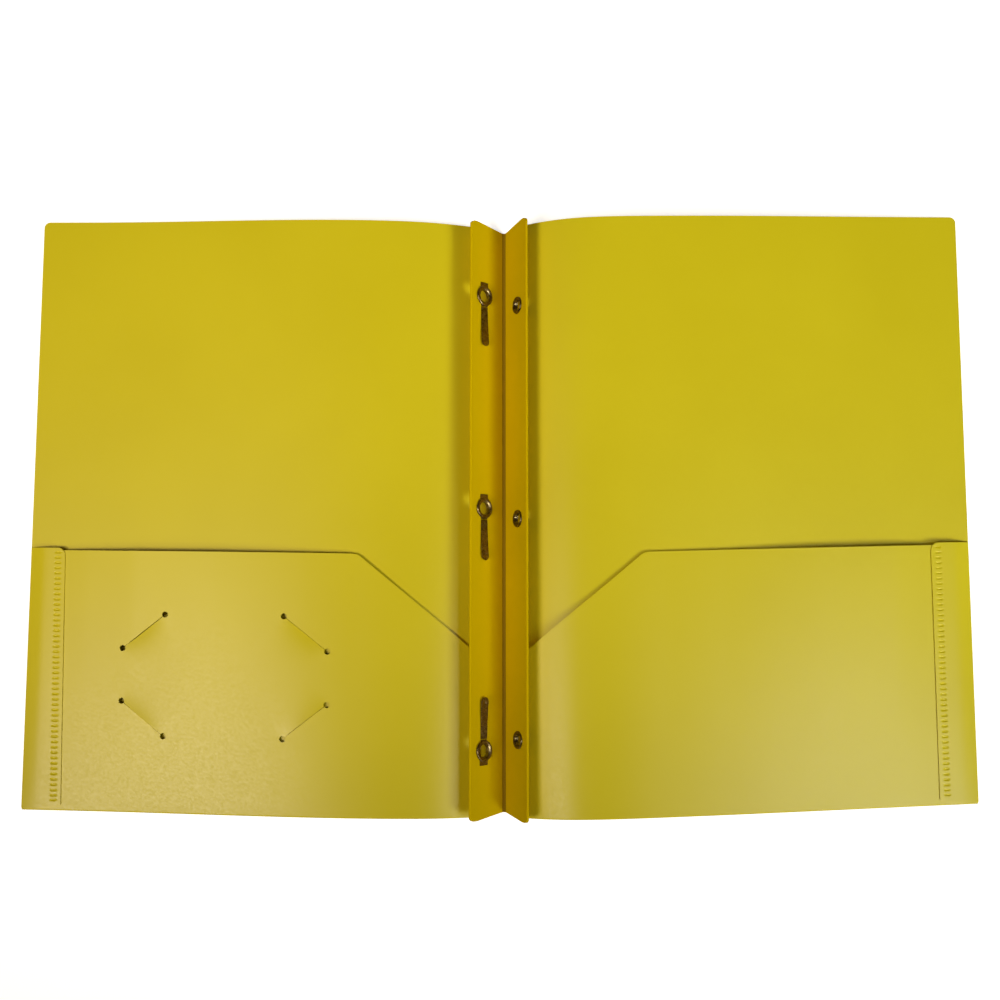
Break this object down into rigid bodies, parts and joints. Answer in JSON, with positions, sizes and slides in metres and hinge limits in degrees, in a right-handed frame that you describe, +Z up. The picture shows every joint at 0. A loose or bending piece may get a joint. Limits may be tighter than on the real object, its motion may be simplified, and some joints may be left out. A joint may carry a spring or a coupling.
{
  "type": "two pocket folder",
  "caption": "Polypropylene pocket folder lying open, with a folding spine gusset, welded side tabs, card slits and bendable metal tang fasteners.",
  "frame": {"origin": "on the table under the middle of the open folder, close to the valley of the spine gusset", "axes": "+X across the open folder towards the back cover, +Y up the page along the spine, +Z up from the table"},
  "size_m": [0.4786, 0.298, 0.0205],
  "materials": {
    "poly_sheet": "mustard yellow polypropylene sheet, satin, with a fine sand grain",
    "fastener_metal": "nickel-plated stamped steel, lightly tarnished"
  },
  "bodies": {
    "back_cover": {"back_cover": "poly_sheet", "back_cover_crease": "poly_sheet", "back_pocket": "poly_sheet", "back_pocket_fold": "poly_sheet", "back_side_tab": "poly_sheet", "back_side_fold": "poly_sheet"},
    "back_flange": {"back_flange": "poly_sheet", "spine_crease": "poly_sheet", "paper_eyelet_top": "fastener_metal", "paper_eyelet_middle": "fastener_metal", "paper_eyelet_bottom": "fastener_metal"},
    "front_flange": {"front_flange": "poly_sheet", "tang_base_top": "fastener_metal", "tang_eyelet_top": "fastener_metal", "tang_base_middle": "fastener_metal", "tang_eyelet_middle": "fastener_metal", "tang_base_bottom": "fastener_metal", "tang_eyelet_bottom": "fastener_metal"},
    "front_cover": {"front_cover": "poly_sheet", "front_cover_crease": "poly_sheet", "front_pocket": "poly_sheet", "front_pocket_fold": "poly_sheet", "front_side_tab": "poly_sheet", "front_side_fold": "poly_sheet"},
    "tang_top": {"tang_blade_top": "fastener_metal"},
    "tang_middle": {"tang_blade_middle": "fastener_metal"},
    "tang_bottom": {"tang_blade_bottom": "fastener_metal"}
  },
  "joints": [
    {"name": "back_flange_fold", "type": "hinge", "parent": "back_cover", "child": "back_flange", "pos_m": [0.00434, 0, 0.00155], "axis": [0, -1, 0], "range_deg": [-63, 20], "stiffness_Nm_per_rad": 0.05},
    {"name": "spine_fold", "type": "hinge", "parent": "back_flange", "child": "front_flange", "pos_m": [0.00049, 0, 0.0016], "axis": [0, -1, 0], "range_deg": [-72, 20], "stiffness_Nm_per_rad": 0.05},
    {"name": "front_cover_fold", "type": "hinge", "parent": "front_flange", "child": "front_cover", "pos_m": [-0.00434, 0, 0.00155], "axis": [0, -1, 0], "range_deg": [-45, 20], "stiffness_Nm_per_rad": 0.05},
    {"name": "tang_top_bend", "type": "hinge", "parent": "front_flange", "child": "tang_top", "pos_m": [-0.00923, 0.1055, 0.01026], "axis": [-0.7071, 0, 0.7071], "range_deg": [0, 90]},
    {"name": "tang_middle_bend", "type": "hinge", "parent": "front_flange", "child": "tang_middle", "pos_m": [-0.00923, -0.0025, 0.01026], "axis": [-0.7071, 0, 0.7071], "range_deg": [0, 90]},
    {"name": "tang_bottom_bend", "type": "hinge", "parent": "front_flange", "child": "tang_bottom", "pos_m": [-0.00923, -0.1105, 0.01026], "axis": [0.7071, 0, -0.7071], "range_deg": [0, 90]}
  ]
}
